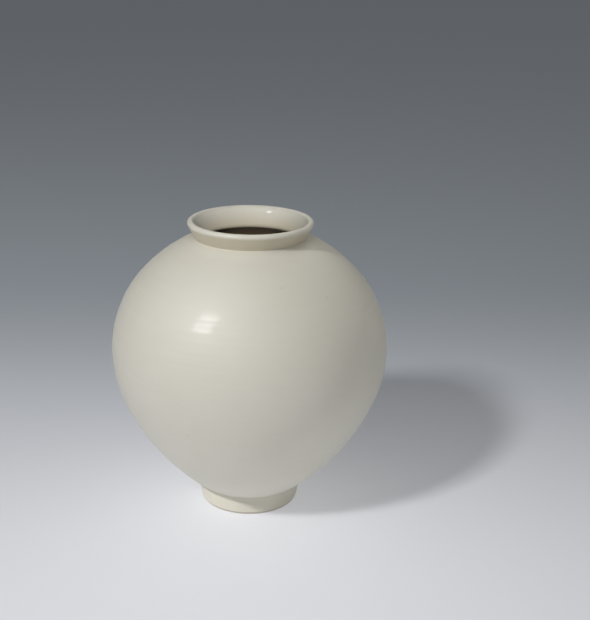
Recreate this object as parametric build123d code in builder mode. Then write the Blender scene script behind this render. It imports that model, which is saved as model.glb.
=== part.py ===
from build123d import *
import os
from math import asin, atan2, cos, degrees, radians, sin, tan

# Moon jar: two thrown porcelain bowls luted rim to rim, with a flared mouth, a foot ring and glaze.
# Millimetres, +Z up, origin on the jar's axis at the plane it stands on.
# Every piece is turned about Z from one half section drawn in radius (x) and height (y).

# Foot ring: its wall leans in from the body's edge to the standing rim
foot_height = 32.5
base_radius = 79.0
foot_inset = 2.6
foot_taper = 5.4
foot_rim = 10.0
foot_bevel = 1.8
well_taper = 3.0

# Lower bowl: a belly arc at the waist, then a flatter flank down to the body's edge
lower_bowl_height = 207.5
belly_radius = 199.5
lower_belly_arc = 179.0
lower_belly_span = 23.0
floor_thickness = 12.0
floor_round = 30.0

# Upper bowl: a rounder belly arc, then the shoulder up to the neck
upper_bowl_height = 165.5
upper_belly_arc = 165.0
upper_belly_span = 43.0
neck_radius = 79.4
wall = 8.0

# Mouth collar: a flared wall of even thickness with a fully rounded lip
collar_height = 24.0
collar_flare = 9.8
collar_wall = 8.0
throat_round = 3.0

# Luted joints: bevelled seats with a layer of slip between
slip = 1.2
waist_bevel = 30.0
neck_bevel = 19.0
seam_bead = 3.5

# Glaze: one coat all over, thicker where it pools, wiped off the standing rim
glaze = 0.5
glaze_pool = 1.5
glaze_stop = 4.0

# Heights stack up from the foot
waist_height = foot_height + lower_bowl_height
neck_height = waist_height + upper_bowl_height
jar_height = neck_height + collar_height
lip_radius = neck_radius + collar_flare

# Lip centre, and the lean of the wall that runs from the neck to touch the lip's round
lip_round = collar_wall / 2
lip_center = Vector(lip_radius - lip_round, jar_height - lip_round)
lip_reach = lip_center - Vector(neck_radius, neck_height)
collar_lean = degrees(atan2(lip_reach.X, lip_reach.Y) + asin(lip_round / lip_reach.length))
collar_rise = Vector(sin(radians(collar_lean)), cos(radians(collar_lean)))

# Joint planes in the half section, each facing up out of its joint
foot_joint = Plane((0, foot_height), z_dir=(0, 1))
waist_joint = Plane(
    (belly_radius, waist_height),
    z_dir=(sin(radians(waist_bevel)), cos(radians(waist_bevel))),
)
neck_joint = Plane(
    (neck_radius, neck_height),
    z_dir=(-sin(radians(neck_bevel)), cos(radians(neck_bevel))),
)


def bowl_outline(belly_arc, belly_span, end, inset):
    """Draw a bowl's outline from the waist to its narrow end, moved inward by inset; return the end arc."""
    side = 1 if end.Y > waist_height else -1
    belly_center = Vector(belly_radius - belly_arc, waist_height)
    turn = radians(side * belly_span)
    belly_end = belly_center + belly_arc * Vector(cos(turn), sin(turn))
    belly_tangent = side * Vector(-sin(turn), cos(turn))
    chord = (end - belly_end).normalized()
    end_tangent = 2 * belly_tangent.dot(chord) * chord - belly_tangent
    inward = side * Vector(-end_tangent.Y, end_tangent.X)
    belly = CenterArc(belly_center, belly_arc - inset, 0, side * belly_span)
    return TangentArc(belly @ 1, end + inset * inward, tangent=belly_tangent)


base_edge = Vector(base_radius, foot_height)
neck_edge = Vector(neck_radius, neck_height)
foot_top = base_radius - foot_inset
foot_bottom = foot_top - foot_taper
rim_outside = foot_bottom - foot_bevel
rim_inside = rim_outside - foot_rim
well_radius = rim_inside - foot_bevel

# Outside of the clay: body, collar and foot filled to the axis, both halves
with BuildSketch() as outside:
    with BuildLine():
        flank = bowl_outline(lower_belly_arc, lower_belly_span, base_edge, 0)
        shoulder = bowl_outline(upper_belly_arc, upper_belly_span, neck_edge, 0)
        Polyline(flank @ 1, (0, foot_height), (0, neck_height), shoulder @ 1)
    make_face()
    with BuildLine():
        lip_outside = CenterArc(lip_center, lip_round, -collar_lean, 90 + collar_lean)
        Polyline(lip_outside @ 1, (0, jar_height), (0, neck_height), neck_edge, lip_outside @ 0)
    make_face()
    with BuildLine():
        Polyline(
            (0, foot_height),
            (foot_top, foot_height),
            (foot_bottom, foot_bevel),
            (rim_outside, 0),
            (0, 0),
            close=True,
        )
    make_face()
    mirror(about=Plane.YZ)

# Space inside: the bowls' hollow above the floor, and the throat running out past the lip
with BuildSketch() as space:
    with BuildLine():
        inner_flank = bowl_outline(lower_belly_arc, lower_belly_span, base_edge, wall)
        inner_shoulder = bowl_outline(upper_belly_arc, upper_belly_span, neck_edge, wall)
        shoulder_end = inner_shoulder @ 1
        shoulder_slope = inner_shoulder % 1
        apex = shoulder_end.Y - shoulder_end.X * shoulder_slope.Y / shoulder_slope.X
        Polyline(inner_flank @ 1, (0, (inner_flank @ 1).Y), (0, apex), shoulder_end)
    make_face()
    split(bisect_by=Plane((0, foot_height + floor_thickness), z_dir=(0, 1)), keep=Keep.TOP)
    floor_corner = space.vertices().group_by(Axis.Y)[0].sort_by(Axis.X)[-1]
    fillet(floor_corner, radius=floor_round)
    with BuildLine():
        lip_inside = CenterArc(lip_center, lip_round, 90, 90 - collar_lean)
        throat_depth = (lip_inside @ 1).Y - neck_height + 2 * wall
        throat_end = lip_inside @ 1 - collar_rise * (throat_depth / collar_rise.Y)
        Polyline(
            lip_inside @ 1,
            throat_end,
            (0, throat_end.Y),
            (0, jar_height + collar_wall),
            (lip_center.X, jar_height + collar_wall),
            lip_inside @ 0,
        )
    make_face()
    throat_corner = space.vertices().sort_by_distance(neck_edge - collar_wall * Vector(1, 0))[0]
    fillet(throat_corner, radius=throat_round)
    mirror(about=Plane.YZ)

# Well under the floor, inside the foot, running out below the standing rim
with BuildSketch() as well:
    with BuildLine():
        Polyline(
            (0, -foot_bevel),
            (rim_inside + foot_bevel, -foot_bevel),
            (well_radius, foot_bevel),
            (well_radius - well_taper, foot_height),
            (0, foot_height),
            close=True,
        )
    make_face()
    mirror(about=Plane.YZ)

# Half section of all the clay, which the joints cut into its pieces
with BuildSketch() as clay:
    add(outside.sketch)
    add(space.sketch, mode=Mode.SUBTRACT)
    add(well.sketch, mode=Mode.SUBTRACT)
    split(bisect_by=Plane.YZ, keep=Keep.TOP)

# Bead of slip squeezed out inside the waist, where no tool can reach to trim it
with BuildSketch() as bead:
    with Locations((belly_radius - wall, waist_height + wall * tan(radians(waist_bevel)))):
        Circle(seam_bead)
    add(space.sketch, mode=Mode.INTERSECT)

# Glaze surfaces: the outside coated all over, the inside and the well lined
with BuildSketch() as coated:
    add(outside.sketch)
    offset(amount=glaze)
    split(bisect_by=Plane.YZ, keep=Keep.TOP)
    neck_crease = coated.vertices().sort_by_distance(neck_edge)[0]
    fillet(neck_crease, radius=glaze_pool)
    foot_crease = coated.vertices().sort_by_distance((foot_top, foot_height))[0]
    fillet(foot_crease, radius=min(glaze_pool, foot_inset / 2))
with BuildSketch() as hollow:
    add(space.sketch)
    add(bead.sketch, mode=Mode.SUBTRACT)
with BuildSketch() as lined:
    add(hollow.sketch)
    offset(amount=-glaze)
with BuildSketch() as lined_well:
    add(well.sketch)
    offset(amount=-glaze)
    split(bisect_by=Plane.YZ, keep=Keep.TOP)
    well_crease = lined_well.vertices().group_by(Axis.Y)[-1].sort_by(Axis.X)[-1]
    fillet(well_crease, radius=glaze_pool)

os.makedirs("parts", exist_ok=True)

# Lower bowl: thrown with the jar's floor, its rim bevelled up towards the inside
with BuildPart() as lower_bowl:
    with BuildSketch(Plane.XZ):
        add(clay.sketch)
        split(bisect_by=foot_joint, keep=Keep.TOP)
        split(bisect_by=waist_joint.offset(-slip / 2), keep=Keep.BOTTOM)
    revolve(axis=Axis.Z)
lower_bowl.part.label = "lower_bowl"
export_step(lower_bowl.part, "parts/lower_bowl.step")

# Waist slip: fills the bevelled joint and stands out inside as a bead
with BuildPart() as waist_slip:
    with BuildSketch(Plane.XZ):
        add(clay.sketch)
        split(bisect_by=waist_joint.offset(-slip / 2), keep=Keep.TOP)
        split(bisect_by=waist_joint.offset(slip / 2), keep=Keep.BOTTOM)
        add(bead.sketch)
    revolve(axis=Axis.Z)
waist_slip.part.label = "waist_slip"
export_step(waist_slip.part, "parts/waist_slip.step")

# Upper bowl: turned over onto the lower one, its base cut away to a bevelled opening
with BuildPart() as upper_bowl:
    with BuildSketch(Plane.XZ):
        add(clay.sketch)
        split(bisect_by=waist_joint.offset(slip / 2), keep=Keep.TOP)
        split(bisect_by=neck_joint, keep=Keep.BOTTOM)
    revolve(axis=Axis.Z)
upper_bowl.part.label = "upper_bowl"
export_step(upper_bowl.part, "parts/upper_bowl.step")

# Neck slip: beds the collar on the opening's bevel
with BuildPart() as neck_slip:
    with BuildSketch(Plane.XZ):
        add(clay.sketch)
        split(bisect_by=neck_joint, keep=Keep.TOP)
        split(bisect_by=neck_joint.offset(slip), keep=Keep.BOTTOM)
    revolve(axis=Axis.Z)
neck_slip.part.label = "neck_slip"
export_step(neck_slip.part, "parts/neck_slip.step")

# Mouth collar: a thrown ring that flares to the rounded lip
with BuildPart() as mouth_collar:
    with BuildSketch(Plane.XZ):
        add(clay.sketch)
        split(bisect_by=neck_joint.offset(slip), keep=Keep.TOP)
    revolve(axis=Axis.Z)
mouth_collar.part.label = "mouth_collar"
export_step(mouth_collar.part, "parts/mouth_collar.step")

# Foot slip: a flat layer between the floor's underside and the foot
with BuildPart() as foot_slip:
    with BuildSketch(Plane.XZ):
        add(clay.sketch)
        split(bisect_by=foot_joint.offset(-slip), keep=Keep.TOP)
        split(bisect_by=foot_joint, keep=Keep.BOTTOM)
    revolve(axis=Axis.Z)
foot_slip.part.label = "foot_slip"
export_step(foot_slip.part, "parts/foot_slip.step")

# Foot ring: set in from the body's edge, bevelled each side of its standing rim
with BuildPart() as foot_ring:
    with BuildSketch(Plane.XZ):
        add(clay.sketch)
        split(bisect_by=foot_joint.offset(-slip), keep=Keep.BOTTOM)
    revolve(axis=Axis.Z)
foot_ring.part.label = "foot_ring"
export_step(foot_ring.part, "parts/foot_ring.step")

# Outer glaze: from above the standing rim, up the body and collar to the crest of the lip
with BuildPart() as outer_glaze:
    with BuildSketch(Plane.XZ):
        add(coated.sketch)
        add(outside.sketch, mode=Mode.SUBTRACT)
        add(space.sketch, mode=Mode.SUBTRACT)
        split(bisect_by=Plane((0, glaze_stop), z_dir=(0, 1)), keep=Keep.TOP)
    revolve(axis=Axis.Z)
outer_glaze.part.label = "outer_glaze"
export_step(outer_glaze.part, "parts/outer_glaze.step")

# Liner glaze: from the crest of the lip down the throat and all round the inside
with BuildPart() as liner_glaze:
    with BuildSketch(Plane.XZ):
        add(hollow.sketch)
        add(coated.sketch, mode=Mode.INTERSECT)
        add(lined.sketch, mode=Mode.SUBTRACT)
    revolve(axis=Axis.Z)
liner_glaze.part.label = "liner_glaze"
export_step(liner_glaze.part, "parts/liner_glaze.step")

# Base glaze: the well's roof and wall, stopping short of the standing rim
with BuildPart() as base_glaze:
    with BuildSketch(Plane.XZ):
        add(well.sketch)
        add(lined_well.sketch, mode=Mode.SUBTRACT)
        split(bisect_by=Plane.YZ, keep=Keep.TOP)
        split(bisect_by=Plane((0, glaze_stop), z_dir=(0, 1)), keep=Keep.TOP)
    revolve(axis=Axis.Z)
base_glaze.part.label = "base_glaze"
export_step(base_glaze.part, "parts/base_glaze.step")
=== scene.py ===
from math import asin, atan2, cos, pi, radians, sin

import bmesh
import bpy
import numpy as np
from mathutils import Matrix, Vector


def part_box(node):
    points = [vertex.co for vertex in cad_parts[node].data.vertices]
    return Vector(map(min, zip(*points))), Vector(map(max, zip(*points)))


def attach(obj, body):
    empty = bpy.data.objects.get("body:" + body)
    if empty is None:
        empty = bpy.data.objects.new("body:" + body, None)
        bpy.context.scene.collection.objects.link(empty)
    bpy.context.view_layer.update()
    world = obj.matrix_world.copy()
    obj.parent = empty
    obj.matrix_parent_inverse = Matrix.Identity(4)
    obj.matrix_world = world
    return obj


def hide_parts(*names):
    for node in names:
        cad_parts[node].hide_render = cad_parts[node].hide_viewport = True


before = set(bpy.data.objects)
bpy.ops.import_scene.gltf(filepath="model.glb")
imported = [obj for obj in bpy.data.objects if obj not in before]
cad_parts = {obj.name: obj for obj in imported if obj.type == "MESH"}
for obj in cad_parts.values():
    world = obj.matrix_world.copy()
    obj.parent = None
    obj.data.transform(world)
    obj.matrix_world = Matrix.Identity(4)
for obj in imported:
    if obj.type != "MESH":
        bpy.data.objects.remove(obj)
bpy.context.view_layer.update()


# Lower and upper bowl: the two halves of the body, thrown apart on the wheel in white porcelain clay
# and joined rim to rim while leather hard. They are wholly under glaze, so their solids stay as they
# are and take the finish of the fired clay.
MM = 0.001
clay_color = (0.62, 0.57, 0.47, 1.0)
clay_roughness = 0.72
clay_grain_per_metre = 900.0
clay_clouds_per_metre = 14.0
clay_cloud_shade = (0.86, 1.1)
clay_grain_shade = (0.94, 1.05)
clay_relief = 0.1 * MM


def start_material(name, roughness):
    """A new material, its node tree and its Principled shader, with a plain roughness."""
    material = bpy.data.materials.new(name)
    material.use_nodes = True
    tree = material.node_tree
    shader = next(node for node in tree.nodes if node.type == "BSDF_PRINCIPLED")
    shader.inputs["Roughness"].default_value = roughness
    return material, tree, shader


def feed(tree, node, inputs):
    """Give each named input socket of a node a plain value, or link it to another node's output."""
    for socket, given in inputs.items():
        if isinstance(given, bpy.types.NodeSocket):
            tree.links.new(given, node.inputs[socket])
        else:
            node.inputs[socket].default_value = given


def add_node(tree, kind, inputs=None, **settings):
    """A new node of that kind, with its own settings and what its input sockets are fed."""
    node = tree.nodes.new(kind)
    for key, value in settings.items():
        setattr(node, key, value)
    feed(tree, node, inputs or {})
    return node


def noise(tree, place, scale, detail, roughness=0.5):
    """A cloudy value between 0 and 1 that changes over the surface."""
    inputs = {"Vector": place, "Scale": scale, "Detail": detail, "Roughness": roughness}
    return add_node(tree, "ShaderNodeTexNoise", inputs).outputs["Fac"]


def remap(tree, value, to_range, from_range=(0.0, 1.0), easing="LINEAR"):
    """A value moved from one range to another, and held at its ends."""
    inputs = {
        "Value": value,
        "From Min": from_range[0],
        "From Max": from_range[1],
        "To Min": to_range[0],
        "To Max": to_range[1],
    }
    node = add_node(tree, "ShaderNodeMapRange", inputs, interpolation_type=easing)
    return node.outputs["Result"]


def reckon(tree, operation, *values, **settings):
    """What a sum of that kind makes of some values."""
    node = add_node(tree, "ShaderNodeMath", dict(enumerate(values)), operation=operation, **settings)
    return node.outputs["Value"]


def mix_colors(tree, share, first, second):
    """The first colour, with a share of the second in its place."""
    inputs = {"Factor": share, "A": first, "B": second}
    return add_node(tree, "ShaderNodeMix", inputs, data_type="RGBA").outputs["Result"]


def start_group(name, inputs, outputs):
    """A new shader node group with those kinds of sockets, and the sockets that it is given."""
    group = bpy.data.node_groups.new(name, "ShaderNodeTree")
    for in_out, sockets in (("INPUT", inputs), ("OUTPUT", outputs)):
        for socket, kind in sockets.items():
            group.interface.new_socket(socket, in_out=in_out, socket_type=kind)
    return group, group.nodes.new("NodeGroupInput").outputs


def fired_grain_group():
    """Fine grain and soft cloudiness of fired clay: a colour, and a height for the surface."""
    group, given = start_group(
        "fired_grain",
        {"Color": "NodeSocketColor", "Grain Scale": "NodeSocketFloat"},
        {"Color": "NodeSocketColor", "Height": "NodeSocketFloat"},
    )
    place = add_node(group, "ShaderNodeTexCoord").outputs["Object"]
    grain = noise(group, place, given["Grain Scale"], detail=3.0, roughness=0.6)
    cloud = noise(group, place, clay_clouds_per_metre, detail=2.0)
    shade = reckon(
        group, "MULTIPLY", remap(group, cloud, clay_cloud_shade), remap(group, grain, clay_grain_shade)
    )
    tinted = add_node(
        group, "ShaderNodeVectorMath", {0: given["Color"], "Scale": shade}, operation="SCALE"
    )
    add_node(group, "NodeGroupOutput", {"Color": tinted.outputs["Vector"], "Height": grain})
    return group


fired_grain = fired_grain_group()


def fired_clay(name, color, grain_scale, roughness, relief):
    """Bare fired clay: matt, finely grained, with grain that stands up by relief."""
    material, tree, shader = start_material(name, roughness)
    grain = add_node(
        tree, "ShaderNodeGroup", {"Color": color, "Grain Scale": grain_scale}, node_tree=fired_grain
    )
    bump = add_node(
        tree,
        "ShaderNodeBump",
        {"Strength": 0.5, "Distance": relief, "Height": grain.outputs["Height"]},
    )
    feed(tree, shader, {"Base Color": grain.outputs["Color"], "Normal": bump.outputs["Normal"]})
    return material


def dress(node, material):
    """Give a CAD node its finish."""
    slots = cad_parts[node].data.materials
    slots.clear()
    slots.append(material)


porcelain_clay = fired_clay(
    "porcelain_clay", clay_color, clay_grain_per_metre, clay_roughness, clay_relief
)
dress("lower_bowl", porcelain_clay)
dress("upper_bowl", porcelain_clay)


# Slip in the waist, neck and foot joints: the same clay stirred with water to a cream, brushed on both
# faces before they are pressed together, and fired hard between them.
slip_color = (0.6, 0.55, 0.45, 1.0)
slip_roughness = 0.8
slip_grain_per_metre = 500.0
slip_relief = 0.15 * MM
luting_slip = fired_clay("luting_slip", slip_color, slip_grain_per_metre, slip_roughness, slip_relief)
for joint_slip in ("waist_slip", "neck_slip", "foot_slip"):
    dress(joint_slip, luting_slip)


# Mouth collar and foot ring: two thrown rings of the same clay, luted on and turned true. The collar is
# all under glaze. The foot shows bare clay on the rim that it stands on, where the glaze was wiped off.
dress("mouth_collar", porcelain_clay)
dress("foot_ring", porcelain_clay)


# Foot, body, collar and liner coats: a skin of milky ivory glaze, dipped outside from the wiped line on
# the foot up over the lip, and poured inside from the lip to the floor. Here it is parted at the creases
# and inside the lip. It softens edges, fills creases a little and follows the clay's throwing lines. Its
# colour is darkened and browned on the collar's outer wall and down inside the mouth: painted shade.
glaze = 0.5 * MM
wall = 8.0 * MM
foot_top = 76.4 * MM
foot_bottom = 71.0 * MM
foot_bevel = 1.8 * MM
foot_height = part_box("foot_slip")[1][2]
wiped_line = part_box("outer_glaze")[0][2]
base_radius = 79.0 * MM
belly_radius = 199.5 * MM
waist_height = 240.0 * MM
lower_belly_arc = 179.0 * MM
lower_belly_span = radians(-23.0)
upper_belly_arc = 165.0 * MM
upper_belly_span = radians(43.0)
neck_radius = 79.4 * MM
neck_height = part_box("upper_bowl")[1][2]
lip_radius = 89.2 * MM
lip_round = wall / 2
jar_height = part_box("outer_glaze")[1][2] - glaze
floor_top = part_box("liner_glaze")[0][2]


def direction(angle):
    """The direction at an angle in the half section, which is drawn in radius and height."""
    return Vector((cos(angle), sin(angle)))


def bowl_arcs(belly_arc, belly_span, end):
    """A bowl's outline from the waist to its narrow end: two arcs, by centre, radius, start and stop."""
    belly_centre = Vector((belly_radius - belly_arc, waist_height))
    bend_out = direction(belly_span)
    chord = end - (belly_centre + belly_arc * bend_out)
    end_arc = -chord.length_squared / (2 * chord.dot(bend_out))
    end_centre = belly_centre + (belly_arc - end_arc) * bend_out
    end_angle = atan2(end.y - end_centre.y, end.x - end_centre.x)
    return (belly_centre, belly_arc, 0.0, belly_span), (end_centre, end_arc, belly_span, end_angle)


def bowl_curve(arcs, inset, step):
    """Points along a bowl's outline from the waist to its narrow end, moved inward by inset."""
    points = []
    for arc in arcs:
        centre, radius, start, stop = arc
        count = max(2, round(abs(stop - start) * (radius - inset) / step))
        for angle in np.linspace(start, stop, count, endpoint=arc is arcs[-1]):
            points.append(centre + (radius - inset) * direction(angle))
    return points


def run(start, end, step):
    """Evenly spaced points along a straight stretch, without its end."""
    count = max(1, round((end - start).length / step))
    return [start.lerp(end, i / count) for i in range(count)]


def pulled(start, pull, end, share):
    """The point at a share of the way along a smooth bend from start to end that a third point pulls."""
    return (1 - share) ** 2 * start + 2 * share * (1 - share) * pull + share**2 * end


def meet(corner, out_a, out_b, depth):
    """Where two faces that meet at a corner cross when both are moved out by depth."""
    return corner + depth * (out_a + out_b) / (1 + out_a.dot(out_b))


def soften(points, corner, reach, count):
    """The outline with a smooth bend in place of what lies within reach of a corner."""
    line = np.array([tuple(p) for p in points])
    along = np.concatenate([[0], np.cumsum(np.hypot(*np.diff(line, axis=0).T))])
    at = along[np.argmin(np.hypot(*(line - np.array(corner)).T))]
    start, stop = (
        np.array([np.interp(at + side * reach, along, line[:, k]) for k in (0, 1)])
        for side in (-1, 1)
    )
    bend = pulled(start, np.array(corner), stop, np.linspace(0, 1, count)[:, None])
    return np.concatenate([line[along < at - reach], bend, line[along > at + reach]])


down = Vector((0, -1))
foot_lean = Vector((foot_top - foot_bottom, foot_height - foot_bevel)).normalized()
foot_out = Vector((foot_lean.y, -foot_lean.x))
foot_corner = Vector((foot_top, foot_height))
base_corner = Vector((base_radius, foot_height))
neck_corner = Vector((neck_radius, neck_height))
lower_arcs = bowl_arcs(lower_belly_arc, lower_belly_span, base_corner)
upper_arcs = bowl_arcs(upper_belly_arc, upper_belly_span, neck_corner)
flank_out = direction(lower_arcs[-1][-1])
shoulder_out = direction(upper_arcs[-1][-1])
lip_centre = Vector((lip_radius - lip_round, jar_height - lip_round))
lip_reach = lip_centre - neck_corner
collar_lean = atan2(lip_reach.x, lip_reach.y) + asin(lip_round / lip_reach.length)
collar_out = direction(-collar_lean)

# How far each bend reaches, and its number of points
foot_bend = (0.9 * MM, 7)
base_bend = (0.7 * MM, 6)
neck_bend = (1.2 * MM, 7)
throat_bend = (5.0 * MM, 12)
floor_bend = (12.0 * MM, 7)


def outside_outline(depth, step):
    """Half section of the coat's outside at a depth over the clay, from the wiped line up to the lip."""
    wiped = Vector((foot_bottom, foot_bevel)) + foot_lean * (wiped_line - foot_bevel) / foot_lean.y
    foot_crease = meet(foot_corner, foot_out, down, depth)
    base_edge = meet(base_corner, down, flank_out, depth)
    neck_crease = meet(neck_corner, shoulder_out, collar_out, depth)
    points = run(wiped + foot_out * depth, foot_crease, step)
    points += run(foot_crease, base_edge, step / 4) + [base_edge]
    points += bowl_curve(lower_arcs, -depth, step)[-2:0:-1]
    points += bowl_curve(upper_arcs, -depth, step)[:-1]
    points += run(neck_crease, lip_centre + (lip_round + depth) * collar_out, step)
    points = soften(points, foot_crease, *foot_bend)
    points = soften(points, base_edge, *base_bend)
    return soften(points, neck_crease, *neck_bend)


lip_steps = 30
bell_steps = 18
bell_pull = 0.42


def inside_outline(depth, step, hidden_step, flare):
    """Half section of the coat over the lip and down to the middle of the floor, at a depth.

    Flare is how far the collar's inside curves outward below the lip, as a trumpet's bell does.
    """
    lip_turns = np.linspace(-collar_lean, pi - collar_lean - flare, lip_steps)
    points = [lip_centre + (lip_round + depth) * direction(turn) for turn in lip_turns]
    lip_end = points[-1]
    ceiling = bowl_curve(upper_arcs, wall + depth, hidden_step)[::-1]
    ceiling_line = Vector((-shoulder_out.y, shoulder_out.x))
    collar_line = -direction(pi / 2 - collar_lean)
    inner_lip = lip_centre - (lip_round + depth) * collar_out
    drop = (ceiling[0] - inner_lip).cross(ceiling_line) / collar_line.cross(ceiling_line)
    throat = inner_lip + drop * collar_line
    bell = lip_end - bell_pull * drop * direction(pi / 2 - collar_lean - flare)
    points += [pulled(lip_end, bell, throat, s) for s in np.linspace(0, 1, bell_steps)[1:-1]]
    points += run(throat, ceiling[0], step) + ceiling[:-1]
    flank = bowl_curve(lower_arcs, wall + depth, hidden_step)
    floor_level = floor_top + depth
    last = next(i for i, p in enumerate(flank) if p.y < floor_level)
    share = (flank[last - 1].y - floor_level) / (flank[last - 1].y - flank[last].y)
    floor_corner = flank[last - 1].lerp(flank[last], share)
    floor_middle = Vector((0, floor_level))
    points += flank[:last] + run(floor_corner, floor_middle, hidden_step) + [floor_middle]
    points = soften(points, throat, *throat_bend)
    return soften(points, floor_corner, *floor_bend)


def coat_outline(depth, step, hidden_step, flare):
    """Half section of the whole coat at a depth over the clay, from the foot to the inside floor."""
    return np.concatenate(
        [outside_outline(depth, step), inside_outline(depth, step, hidden_step, flare)]
    )


ring_pitches = np.linspace(7.0, 16.0, 9) * MM
ring_slants = (0.4, 1.6)
ring_depth = 0.013 * MM
swells = ((60.0 * MM, 1), (85.0 * MM, 2), (130.0 * MM, 3))
swell_depth = 0.05 * MM
swell_change = 0.6
mark_depth = 0.03 * MM
mark_slant = 0.6 * MM
strong_marks = ((343.6, 2.2, 1.0), (332.2, 1.5, 0.8), (317.2, 2.0, 1.0))
faint_mark_levels = np.arange(75.0, 395.0, 14.0)
faint_mark_shift = 5.0
faint_mark_widths = (1.0, 2.0)
faint_mark_strengths = (0.1, 0.5)


def throwing_relief(height, turn):
    """How far the potter's fingers left the wall out of true, at each height and turn."""
    chance = np.random.default_rng(11)
    relief = np.zeros(np.broadcast(height, turn).shape)
    for pitch in ring_pitches:
        start, drift = chance.uniform(0, 2 * pi, 2)
        slant = chance.uniform(*ring_slants) * MM * np.sin(turn + drift)
        relief += ring_depth * np.sin(2 * pi * (height + slant) / pitch + start)
    for pitch, lobes in swells:
        start, drift = chance.uniform(0, 2 * pi, 2)
        swell = np.sin(2 * pi * height / pitch + start)
        relief += swell_depth * swell * (1 + swell_change * np.sin(lobes * turn + drift))
    return relief - mark_depth * finger_marks(height, turn)


def finger_marks(height, turn):
    """Where a fingertip's edge scored the wall: 0 on the smooth wall, up to 1 in a mark.

    A mark has a level and a half width, both in millimetres, and a strength.
    """
    chance = np.random.default_rng(5)
    scored = list(strong_marks)
    for level in faint_mark_levels:
        level += chance.uniform(-faint_mark_shift, faint_mark_shift)
        scored.append((level, chance.uniform(*faint_mark_widths), chance.uniform(*faint_mark_strengths)))
    marks = np.zeros(np.broadcast(height, turn).shape)
    for level, half_width, strength in scored:
        slant = mark_slant * np.sin(turn + chance.uniform(0, 2 * pi))
        mark = np.exp(-(((height + slant - level * MM) / (half_width * MM)) ** 2))
        marks = np.maximum(marks, strength * mark)
    return marks


skin_step = 1.5 * MM
skin_hidden_step = 7.0 * MM
clay_side = 0.02 * MM
clay_step = 12.0 * MM
clay_hidden_step = 14.0 * MM
bell_flare = radians(12.0)
lip_seam_drop = 1.0 * MM
smooth_middle = 20.0 * MM
coat_sides = 180
crease_angle = radians(50.0)
touching = 0.001 * MM
coat_turn = np.linspace(0, 2 * pi, coat_sides, endpoint=False)


def turned_points(rows, relief):
    """Points of a half section turned about Z, each moved off the surface by relief."""
    slope = np.gradient(rows, axis=0)
    slope /= np.hypot(*slope.T)[:, None]
    radius = rows[:, :1] + slope[:, 1:] * relief
    height = rows[:, 1:] - slope[:, :1] * relief
    return np.stack([radius * np.cos(coat_turn), radius * np.sin(coat_turn), height], axis=-1)


def coat_parts(rows):
    """The rows of a half section in each coat, parted at the foot, the neck and the lip's inner edge."""
    foot_seam, neck_seam = (
        np.argmin(np.hypot(*(rows - np.array(corner)).T)) for corner in (foot_corner, neck_corner)
    )
    top = np.argmax(rows[:, 1])
    lip_seam = top + np.argmax(rows[top:, 1] < jar_height - lip_seam_drop)
    seams = [0, foot_seam, neck_seam, lip_seam, len(rows) - 1]
    return [slice(start, stop + 1) for start, stop in zip(seams[:-1], seams[1:])]


def tint_and_painted_shade(height, tints_and_shades):
    """How the glaze's colour changes with height, tints and painted shade alike: each sets in below a
    level, over a depth.
    """
    change = np.zeros((len(height), 3))
    last_tint_and_shade = np.ones(3)
    for level, depth, tint_and_shade in tints_and_shades:
        change += np.clip((level - height) / depth, 0, 1) * (np.array(tint_and_shade) - last_tint_and_shade)
        last_tint_and_shade = np.array(tint_and_shade)
    return change


def coat_piece(name, skin, clay, tint_and_shade, dull):
    """One closed piece of the coat, from points of its skin and of the side on the clay."""
    loop = np.concatenate([skin, clay[::-1]])
    rows, sides = loop.shape[:2]
    grid = np.arange(rows * sides).reshape(rows, sides)
    ahead = np.roll(grid, -1, axis=1)
    quads = np.stack([grid, ahead, np.roll(ahead, -1, axis=0), np.roll(grid, -1, axis=0)], axis=-1)
    ends_on_axis = np.hypot(*skin[-1, 0, :2]) < touching
    if ends_on_axis:
        quads = np.delete(quads, len(skin) - 1, axis=0)
    mesh = bpy.data.meshes.new(name)
    mesh.from_pydata(loop.reshape(-1, 3).tolist(), [], quads.reshape(-1, 4).tolist())
    # The skin's rows carry the tint and painted shade; the side on the clay carries none.
    tint_and_shade = np.pad(tint_and_shade, ((0, len(clay)), (0, 1)))
    mesh.attributes.new("tint_and_painted_shade", "FLOAT_COLOR", "POINT").data.foreach_set(
        "color", np.repeat(tint_and_shade, sides, axis=0).ravel()
    )
    dull = np.pad(dull, ((0, len(clay)), (0, 0)))
    mesh.attributes.new("dull", "FLOAT", "POINT").data.foreach_set("value", dull.ravel())
    merged = bmesh.new()
    merged.from_mesh(mesh)
    bmesh.ops.remove_doubles(merged, verts=merged.verts, dist=touching)
    merged.to_mesh(mesh)
    merged.free()
    mesh.shade_smooth()
    mesh.set_sharp_from_angle(angle=crease_angle)
    piece = bpy.data.objects.new(name, mesh)
    bpy.context.scene.collection.objects.link(piece)
    return piece


skin_rows = coat_outline(glaze, skin_step, skin_hidden_step, bell_flare)
clay_rows = coat_outline(clay_side, clay_step, clay_hidden_step, 0.0)
thrown = np.clip(skin_rows[:, :1] / smooth_middle, 0, 1)
skin_relief = thrown * throwing_relief(skin_rows[:, 1:], coat_turn[None, :])
skin_dull = finger_marks(skin_rows[:, 1:], coat_turn[None, :])
skin_points = turned_points(skin_rows, skin_relief)
clay_points = turned_points(clay_rows, np.zeros((len(clay_rows), coat_sides)))
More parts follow.
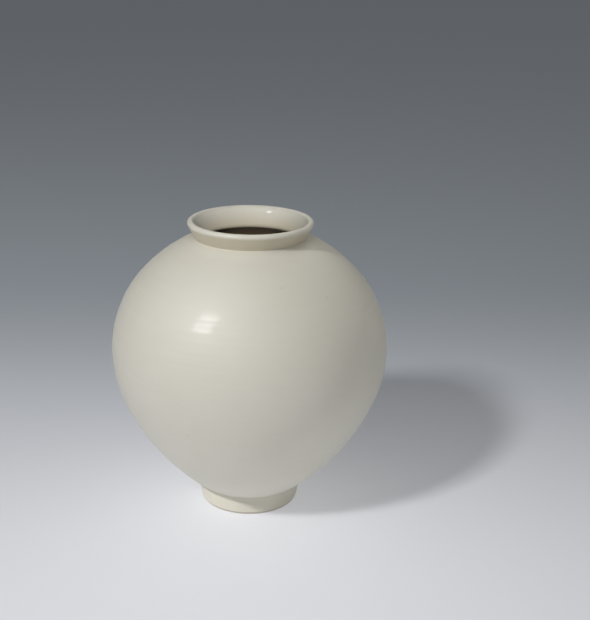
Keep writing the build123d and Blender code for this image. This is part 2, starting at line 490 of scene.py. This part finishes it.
# Tints by height for each coat. The collar's and the liner's are painted shade, not the glaze's own
# colour.
coat_tints_and_painted_shade = {
    "foot_coat": [(foot_height + 2.0 * MM, 1.0 * MM, (1.03, 1.02, 0.99))],
    "body_coat": [],
    # Painted shade: the collar's outer wall, which faces down under the lip, is darker and browner.
    "collar_coat": [(426.0 * MM, 4.0 * MM, (0.82, 0.78, 0.7))],
    # Painted shade: the inside of the mouth grows darker and browner down to the throat, for the jar's
    # dark inside.
    "liner_coat": [
        (425.0 * MM, 22.0 * MM, (0.8, 0.75, 0.66)),
        (402.0 * MM, 8.0 * MM, (0.6, 0.45, 0.28)),
    ],
}
coats = [
    coat_piece(
        coat_name,
        skin_points[in_skin],
        clay_points[in_clay],
        tint_and_painted_shade(skin_rows[in_skin, 1:], tints_and_shades),
        skin_dull[in_skin],
    )
    for (coat_name, tints_and_shades), in_skin, in_clay in zip(
        coat_tints_and_painted_shade.items(), coat_parts(skin_rows), coat_parts(clay_rows)
    )
]
foot_coat, body_coat, collar_coat, liner_coat = coats

glaze_color = (0.78, 0.755, 0.66, 1.0)
glaze_thin_color = (0.725, 0.69, 0.58, 1.0)
glaze_sheen_color = (0.72, 0.86, 1.0, 1.0)
glaze_roughness = 0.58
glaze_polish = 0.04
glaze_gloss = 0.085
glaze_clouds_per_metre = 9.0
glaze_cloud_span = (0.35, 0.7)
glaze_cloud_thinness = 0.35
glaze_lines_per_metre = 260.0
glaze_lines_round = 5.0
glaze_streak_span = (0.45, 0.75)
glaze_streak_thinness = 0.12
glaze_ripples_per_metre = 130.0
glaze_unevenness = 0.25
glaze_relief = 0.12 * MM
speck_color = (0.2, 0.15, 0.1, 1.0)
speck_cells_per_metre = 48.0
speck_chance = (0.82, 1.0)
speck_size = 0.05
speck_strength = 0.55


def throwing_lines_group():
    """Fine level lines left by the potter's fingers: a streak mask, and a height for the surface."""
    group, given = start_group(
        "throwing_lines",
        {"Lines": "NodeSocketFloat", "Unevenness": "NodeSocketFloat"},
        {"Streak": "NodeSocketFloat", "Height": "NodeSocketFloat"},
    )
    place = add_node(group, "ShaderNodeTexCoord").outputs["Object"]
    stretch = add_node(
        group,
        "ShaderNodeCombineXYZ",
        {"X": glaze_lines_round, "Y": glaze_lines_round, "Z": given["Lines"]},
    )
    stretched = add_node(
        group, "ShaderNodeVectorMath", {0: place, 1: stretch.outputs["Vector"]}, operation="MULTIPLY"
    )
    lines = noise(group, stretched.outputs["Vector"], 1.0, detail=2.0)
    ripple = noise(group, place, glaze_ripples_per_metre, detail=1.0)
    height = reckon(group, "MULTIPLY_ADD", ripple, given["Unevenness"], lines)
    add_node(group, "NodeGroupOutput", {"Streak": lines, "Height": height})
    return group


throwing_lines = throwing_lines_group()


def speck_mask(tree, place):
    """Where an iron speck shows: a small dot in a few cells of the surface, of a size by chance."""
    cells = add_node(
        tree,
        "ShaderNodeTexVoronoi",
        {"Vector": place, "Scale": speck_cells_per_metre, "Randomness": 1.0},
    )
    chance = add_node(tree, "ShaderNodeSeparateColor", {"Color": cells.outputs["Color"]})
    size = remap(tree, chance.outputs["Red"], (0.0, speck_size), speck_chance)
    dot = reckon(tree, "LESS_THAN", cells.outputs["Distance"], size)
    return reckon(tree, "MULTIPLY", dot, speck_strength)


def milky_glaze(name, color, thin_color, roughness, gloss):
    """Semi-gloss glaze: cloudy ivory, thinner on the throwing lines, with a few iron specks, and each
    piece's tint and painted shade.
    """
    material, tree, shader = start_material(name, roughness)
    place = add_node(tree, "ShaderNodeTexCoord").outputs["Object"]
    lines = add_node(
        tree,
        "ShaderNodeGroup",
        {"Lines": glaze_lines_per_metre, "Unevenness": glaze_unevenness},
        node_tree=throwing_lines,
    )
    cloud = noise(tree, place, glaze_clouds_per_metre, detail=3.0, roughness=0.55)
    patchy = remap(tree, cloud, (0.0, glaze_cloud_thinness), glaze_cloud_span)
    streaky = remap(tree, lines.outputs["Streak"], (0.0, glaze_streak_thinness), glaze_streak_span)
    thinness = reckon(tree, "ADD", patchy, streaky, use_clamp=True)
    shade = mix_colors(tree, thinness, color, thin_color)
    # Each coat's tint and painted shade by height, as a change to the colour.
    tint_and_shade = add_node(tree, "ShaderNodeAttribute", attribute_name="tint_and_painted_shade").outputs["Color"]
    tinted = add_node(
        tree, "ShaderNodeVectorMath", {0: shade, 1: tint_and_shade, 2: shade}, operation="MULTIPLY_ADD"
    )
    dull = add_node(tree, "ShaderNodeAttribute", attribute_name="dull").outputs["Fac"]
    bump = add_node(
        tree,
        "ShaderNodeBump",
        {"Strength": 0.35, "Distance": glaze_relief, "Height": lines.outputs["Height"]},
    )
    specked = mix_colors(tree, speck_mask(tree, place), tinted.outputs["Vector"], speck_color)
    feed(
        tree,
        shader,
        {
            "Base Color": specked,
            "Roughness": remap(tree, cloud, (roughness - glaze_polish, roughness + glaze_polish)),
            "Normal": bump.outputs["Normal"],
            "Specular IOR Level": 0.35,
            "Coat Weight": remap(tree, dull, (gloss, 0.0)),
            "Coat Roughness": 0.11,
            "Sheen Weight": 0.1,
            "Sheen Roughness": 0.25,
            "Sheen Tint": glaze_sheen_color,
        },
    )
    return material


ivory_glaze = milky_glaze(
    "ivory_glaze", glaze_color, glaze_thin_color, glaze_roughness, glaze_gloss
)
for coat, glaze_node in zip(coats, ("outer_glaze", "outer_glaze", "outer_glaze", "liner_glaze")):
    coat.data.materials.append(ivory_glaze)
    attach(coat, "root")
    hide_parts(glaze_node)


# Base glaze: the same glaze poured into the well under the floor and wiped off the standing rim. Its
# solid is right as it is, so it only takes the glaze's finish.
dress("base_glaze", ivory_glaze)


# Paper floor: a wide sheet of matt paper that the jar stands on, white in front, darker from the jar
# towards the back, and as dark on every side far out, so that it meets the room without a hard line.
paper_front = (0.85, 0.855, 0.88, 1.0)
paper_near = (0.7, 0.706, 0.74, 1.0)
paper_far = (0.396, 0.433, 0.473, 1.0)
paper_front_end = -1.1
paper_near_end = -0.294
paper_far_end = 1.121
paper_round_fade = (2.2, 5.0)
paper_roughness = 0.9
floor_radius = 16.0
floor_sides = 96
floor_gap = 0.1 * MM

edge = np.linspace(0, 2 * pi, floor_sides, endpoint=False)
rim = [(floor_radius * cos(a), floor_radius * sin(a), -floor_gap) for a in edge]
floor_mesh = bpy.data.meshes.new("paper_floor")
floor_mesh.from_pydata(rim, [], [list(range(floor_sides))])
paper_floor = bpy.data.objects.new("paper_floor", floor_mesh)
bpy.context.scene.collection.objects.link(paper_floor)


def graded_paper():
    """Matt paper whose tone changes from front to back, and evens out far away."""
    material, tree, shader = start_material("graded_paper", paper_roughness)
    place = add_node(tree, "ShaderNodeTexCoord").outputs["Object"]
    split = add_node(tree, "ShaderNodeSeparateXYZ", {"Vector": place})
    back = remap(tree, split.outputs["Y"], (0.0, 1.0), (paper_front_end, paper_far_end))
    ramp = add_node(tree, "ShaderNodeValToRGB", {"Fac": back})
    stops = ramp.color_ramp
    stops.interpolation = "EASE"
    stops.elements[0].color = paper_front
    stops.elements[1].color = paper_far
    near_stop = (paper_near_end - paper_front_end) / (paper_far_end - paper_front_end)
    stops.elements.new(near_stop).color = paper_near
    reach = add_node(tree, "ShaderNodeVectorMath", {0: place}, operation="LENGTH").outputs["Value"]
    far_out = remap(tree, reach, (0.0, 1.0), paper_round_fade, "SMOOTHSTEP")
    tone = mix_colors(tree, far_out, ramp.outputs["Color"], paper_far)
    feed(tree, shader, {"Base Color": tone, "Specular IOR Level": 0.1})
    return material


floor_mesh.materials.append(graded_paper())


# Lights: keys at the front left, and one in front for the mouth, give each piece its light and shadow.
# Soft boxes give the glaze its highlight and the mouth its glint, wide panels fill the jar's shaded
# sides, and two lamps without shadows even out the floor.
jar_middle = Vector((0.0, 0.0, 0.22))
lamp_distance = 3.2
panel_distance = 2.6
floor_key_distance = 3.45
key_size = (0.16, 0.16)
mouth_key_size = (0.4, 0.4)
floor_key_size = (0.42, 0.42)
soft_box_size = (0.8, 1.25)
mouth_box_size = (0.45, 0.28)
panel_size = (1.5, 1.5)
white = (1.0, 1.0, 1.0)
warm = (1.0, 0.98, 0.92)
room_light_color = (0.03, 0.03, 0.03, 1.0)
room_seen_color = (0.119, 0.131, 0.143, 1.0)


def hang_lamp(name, kind, power, lit_pieces):
    """A lamp that falls on some pieces alone, with every object still casting its shadow."""
    lamp = bpy.data.lights.new(name, kind)
    lamp.energy = power
    light = bpy.data.objects.new(name, lamp)
    light.visible_camera = False
    bpy.context.scene.collection.objects.link(light)
    lit = bpy.data.collections.new(name + "_falls_on")
    for piece in lit_pieces:
        lit.objects.link(piece)
    light.light_linking.receiver_collection = lit
    return light


def studio_light(name, turn, rise, distance, size, power, lit_pieces, color=white):
    """A soft light aimed at the jar: degrees right of front, degrees up, metres away, and across."""
    turn, rise = radians(turn), radians(rise)
    away = Vector((sin(turn) * cos(rise), -cos(turn) * cos(rise), sin(rise)))
    light = hang_lamp(name, "AREA", power, lit_pieces)
    light.data.shape = "RECTANGLE"
    light.data.size, light.data.size_y = size
    light.data.color = color
    light.location = jar_middle + distance * away
    light.rotation_euler = (-away).to_track_quat("-Z", "Y").to_euler()
    return light


body_pieces = [body_coat, collar_coat, *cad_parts.values()]
outside_pieces = [foot_coat, *body_pieces]
body_and_mouth = [*body_pieces, liner_coat]
for key in (
    studio_light("key", -49.0, 40.5, lamp_distance, key_size, 36.5, body_pieces),
    studio_light("foot_key", -45.0, 40.5, lamp_distance, key_size, 72.0, [foot_coat]),
    studio_light("mouth_key", -5.0, 26.0, lamp_distance, mouth_key_size, 45.0, [liner_coat]),
    studio_light("floor_key", -42.6, 41.4, floor_key_distance, floor_key_size, 65.0, [paper_floor]),
):
    key.visible_glossy = False
for soft_box in (
    studio_light("soft_box", -46.0, 42.0, lamp_distance, soft_box_size, 155.0, outside_pieces),
    studio_light("mouth_box", -50.0, 51.0, lamp_distance, mouth_box_size, 62.0, [liner_coat]),
):
    soft_box.visible_diffuse = False
for name, turn, rise, power, lit_pieces, color in (
    ("front_panel", -8.0, 30.0, 8.0, body_and_mouth, white),
    ("top_panel", -30.0, 76.0, 11.5, body_and_mouth, white),
    ("fill_panel", 50.0, 42.0, 5.0, outside_pieces, warm),
    ("side_panel", 118.0, 6.0, 5.4, outside_pieces, warm),
    ("back_panel", 150.0, 40.0, 7.0, outside_pieces, warm),
):
    studio_light(name, turn, rise, panel_distance, panel_size, power, lit_pieces, color)
for name, kind, power, place in (
    ("floor_wash", "SUN", 0.79, (0.0, 0.0, 3.0)),
    ("floor_pool", "POINT", 11.0, (0.1, -0.48, 1.02)),
):
    floor_fill = hang_lamp(name, kind, power, [paper_floor])
    floor_fill.data.use_shadow = False
    floor_fill.visible_glossy = False
    floor_fill.location = place

world = bpy.data.worlds.new("studio")
world.use_nodes = True
bpy.context.scene.world = world
room_tree = world.node_tree
room_light = next(node for node in room_tree.nodes if node.type == "BACKGROUND")
room_seen = add_node(room_tree, "ShaderNodeLightPath").outputs["Is Camera Ray"]
room_tone = mix_colors(room_tree, room_seen, room_light_color, room_seen_color)
feed(room_tree, room_light, {"Color": room_tone})


# Camera: at the height and distance that the ellipses of the mouth and foot and the jar's outline give,
# looking a little down, and turned and rolled as they are. Its frame is 590 by 620 pixels.
eye = Vector((0.0, -1.573, 0.8274))
pitch, yaw, roll = radians(18.690), radians(-2.366), radians(1.054)
focal_pixels = 1142.7
image_height = 620
sensor_size = 36.0
level_right = Vector((cos(yaw), sin(yaw), 0))
level_ahead = Vector((-sin(yaw), cos(yaw), 0))
ahead = cos(pitch) * level_ahead - sin(pitch) * Vector((0, 0, 1))
level_up = sin(pitch) * level_ahead + cos(pitch) * Vector((0, 0, 1))
right = cos(roll) * level_right + sin(roll) * level_up
up = -sin(roll) * level_right + cos(roll) * level_up
lens = bpy.data.cameras.new("camera")
lens.sensor_width = sensor_size
lens.lens = focal_pixels * sensor_size / image_height
camera = bpy.data.objects.new("camera", lens)
turned = Matrix((right, up, -ahead)).transposed().to_4x4()
camera.matrix_world = Matrix.Translation(eye) @ turned
bpy.context.scene.collection.objects.link(camera)
bpy.context.scene.camera = camera
bpy.context.scene.view_settings.view_transform = "Standard"
